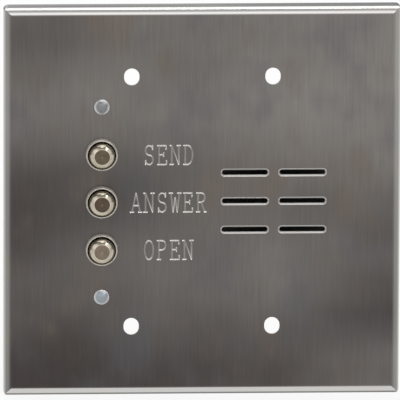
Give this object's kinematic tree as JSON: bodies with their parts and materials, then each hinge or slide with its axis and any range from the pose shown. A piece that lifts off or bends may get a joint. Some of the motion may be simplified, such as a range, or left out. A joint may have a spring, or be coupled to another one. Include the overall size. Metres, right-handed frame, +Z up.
{
  "type": "intercom room station",
  "caption": "Square brushed steel wall station for a room intercom: column of push keys with leaf switches, and a loudspeaker behind rows of slots.",
  "frame": {"origin": "middle of the plate's rear rim, on the wall", "axes": "+X right as seen from the room, +Y into the wall, +Z up"},
  "size_m": [0.1296, 0.0356, 0.1296],
  "materials": {
    "stainless": "vertical brushed grain",
    "nickel": "satin nickel plate on brass",
    "zinc_steel": "bright zinc plate",
    "nylon": "natural nylon",
    "spring_steel": "drawn wire",
    "phenolic": "brown laminate",
    "phosphor_bronze": "rolled strip",
    "sleeving": "varnished sleeve",
    "brass": "plain brass",
    "tinned": "tinned brass",
    "felt": "pressed felt",
    "cone_paper": "black pressed paper",
    "surround_cloth": "doped cloth",
    "spider_cloth": "varnished cloth",
    "copper_coil": "enamelled copper on paper",
    "ferrite": "sintered"
  },
  "bodies": {
    "station": {"faceplate": "stainless", "bracket_rivets": "zinc_steel", "switch_bracket": "zinc_steel", "base_insulators": "phenolic", "leaf_spacers": "phenolic", "top_insulators": "phenolic", "clamp_plates": "zinc_steel", "stack_sleeves": "sleeving", "stack_screws": "zinc_steel", "terminal_board": "phenolic", "board_posts": "brass", "board_screws": "zinc_steel", "terminal_lugs": "brass", "terminal_screws": "brass", "speaker_studs": "zinc_steel", "speaker_nuts": "zinc_steel", "speaker_gasket": "felt", "speaker_frame": "zinc_steel", "speaker_surround": "surround_cloth", "spider": "spider_cloth", "top_plate": "zinc_steel", "magnet": "ferrite", "back_plate": "zinc_steel", "tag_strip": "phenolic", "tag_rivet": "brass", "speaker_tags": "tinned", "upper_ferrule": "nickel", "upper_spring": "spring_steel", "upper_moving_leaf": "phosphor_bronze", "upper_fixed_leaf": "phosphor_bronze", "middle_ferrule": "nickel", "middle_spring": "spring_steel", "middle_moving_leaf": "phosphor_bronze", "middle_fixed_leaf": "phosphor_bronze", "lower_ferrule": "nickel", "lower_spring": "spring_steel", "lower_moving_leaf": "phosphor_bronze", "lower_fixed_leaf": "phosphor_bronze"},
    "upper_key": {"upper_button": "nickel", "upper_pusher": "nylon"},
    "middle_key": {"middle_button": "nickel", "middle_pusher": "nylon"},
    "lower_key": {"lower_button": "nickel", "lower_pusher": "nylon"},
    "speaker_moving": {"speaker_cone": "cone_paper", "dust_cap": "cone_paper", "voice_coil": "copper_coil"}
  },
  "joints": [
    {"name": "upper_press", "type": "slide", "parent": "station", "child": "upper_key", "axis": [0, 1, 0], "range_m": [0, 0.002], "stiffness_N_per_m": 390, "springref_m": -0.0026, "deforming": ["upper_spring", "upper_moving_leaf"]},
    {"name": "middle_press", "type": "slide", "parent": "station", "child": "middle_key", "axis": [0, 1, 0], "range_m": [0, 0.002], "stiffness_N_per_m": 390, "springref_m": -0.0026, "deforming": ["middle_spring", "middle_moving_leaf"]},
    {"name": "lower_press", "type": "slide", "parent": "station", "child": "lower_key", "axis": [0, 1, 0], "range_m": [0, 0.002], "stiffness_N_per_m": 390, "springref_m": -0.0026, "deforming": ["lower_spring", "lower_moving_leaf"]},
    {"name": "cone_stroke", "type": "slide", "parent": "station", "child": "speaker_moving", "axis": [0, 1, 0], "range_m": [-0.0008, 0.0008], "stiffness_N_per_m": 800, "deforming": ["speaker_surround", "spider"]}
  ]
}
